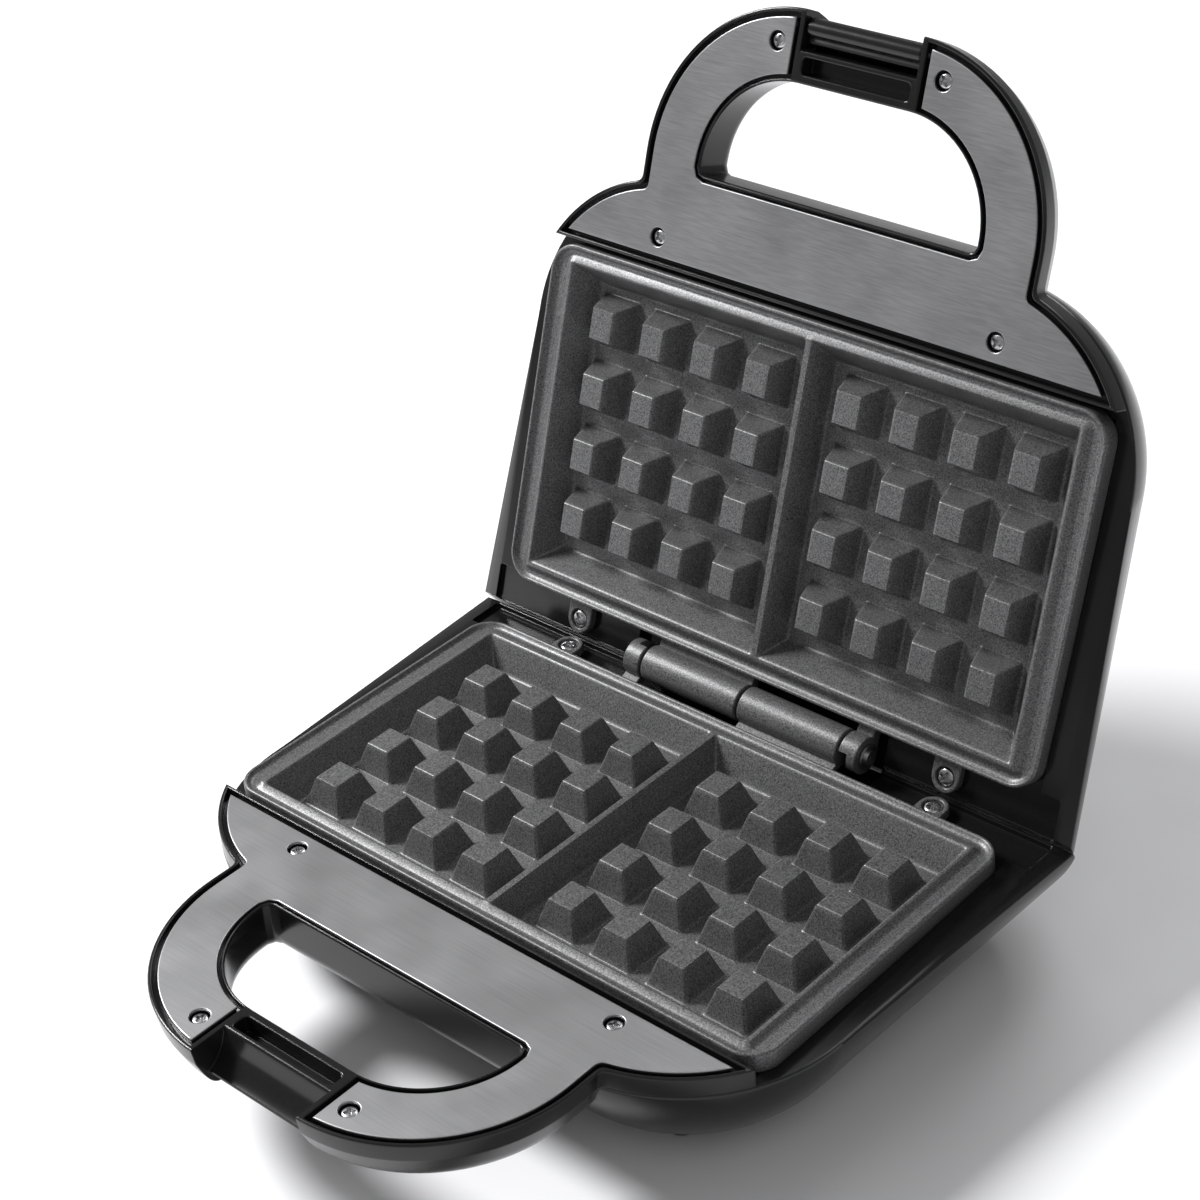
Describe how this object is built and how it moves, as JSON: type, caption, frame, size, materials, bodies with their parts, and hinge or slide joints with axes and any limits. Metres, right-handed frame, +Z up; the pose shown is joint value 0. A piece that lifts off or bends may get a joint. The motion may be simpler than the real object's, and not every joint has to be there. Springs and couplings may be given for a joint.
{
  "type": "waffle maker",
  "caption": "Electric waffle maker with two hinged black shells, loop handles, brushed trim, non-stick plates for square waffles and a latch clip; it stands open on round feet.",
  "frame": {"origin": "centre of the open object's box, on the surface that the feet stand on", "axes": "+Z up, +X to the right along the hinge axis, -Y towards the front of the base handle"},
  "size_m": [0.2528, 0.3171, 0.2632],
  "materials": {
    "shell": "black, high gloss, moulded",
    "trim": "fine brushed, satin",
    "screw": "zinc plated",
    "plate": "dark grey non-stick coating on cast aluminium, fine speckle",
    "heater": "heat-tinted sheath",
    "sheet": "rolled sheet",
    "ceramic": "matt ceramic and bakelite",
    "lead": "silicone sleeve",
    "foot": "matt black",
    "power_lens": "red, translucent",
    "ready_lens": "green, translucent"
  },
  "bodies": {
    "base": {"base_shell": "shell", "base_trim": "trim", "base_trim_screws": "screw", "lower_waffle_plate": "plate", "lower_plate_screws": "screw", "lower_heating_element": "heater", "lower_element_clamps": "sheet", "lower_clamp_screws": "screw", "lower_reflector": "sheet", "lower_thermostat": "ceramic", "terminal_block": "ceramic", "base_leads": "lead", "cord_grommet": "shell", "front_feet": "foot", "rear_feet": "foot", "foot_screws": "screw", "hinge_pin": "screw", "hinge_pin_clips": "screw"},
    "lid": {"lid_shell": "shell", "lid_trim": "trim", "lid_trim_screws": "screw", "upper_waffle_plate": "plate", "upper_plate_screws": "screw", "upper_heating_element": "heater", "upper_element_clamps": "sheet", "upper_clamp_screws": "screw", "upper_reflector": "sheet", "thermal_fuse": "ceramic", "power_lamp_lens": "power_lens", "ready_lamp_lens": "ready_lens", "lamp_holder": "ceramic", "lid_leads": "lead", "latch_pin": "screw"},
    "latch": {"latch_clip": "shell"}
  },
  "joints": [
    {"name": "lid_hinge", "type": "hinge", "parent": "base", "child": "lid", "pos_m": [0, 0.06891, 0.0474], "axis": [1, 0, 0], "range_deg": [0, 108.7]},
    {"name": "latch_pivot", "type": "hinge", "parent": "lid", "child": "latch", "pos_m": [0, 0.14267, 0.25659], "axis": [1, 0, 0], "range_deg": [0, 200]}
  ]
}
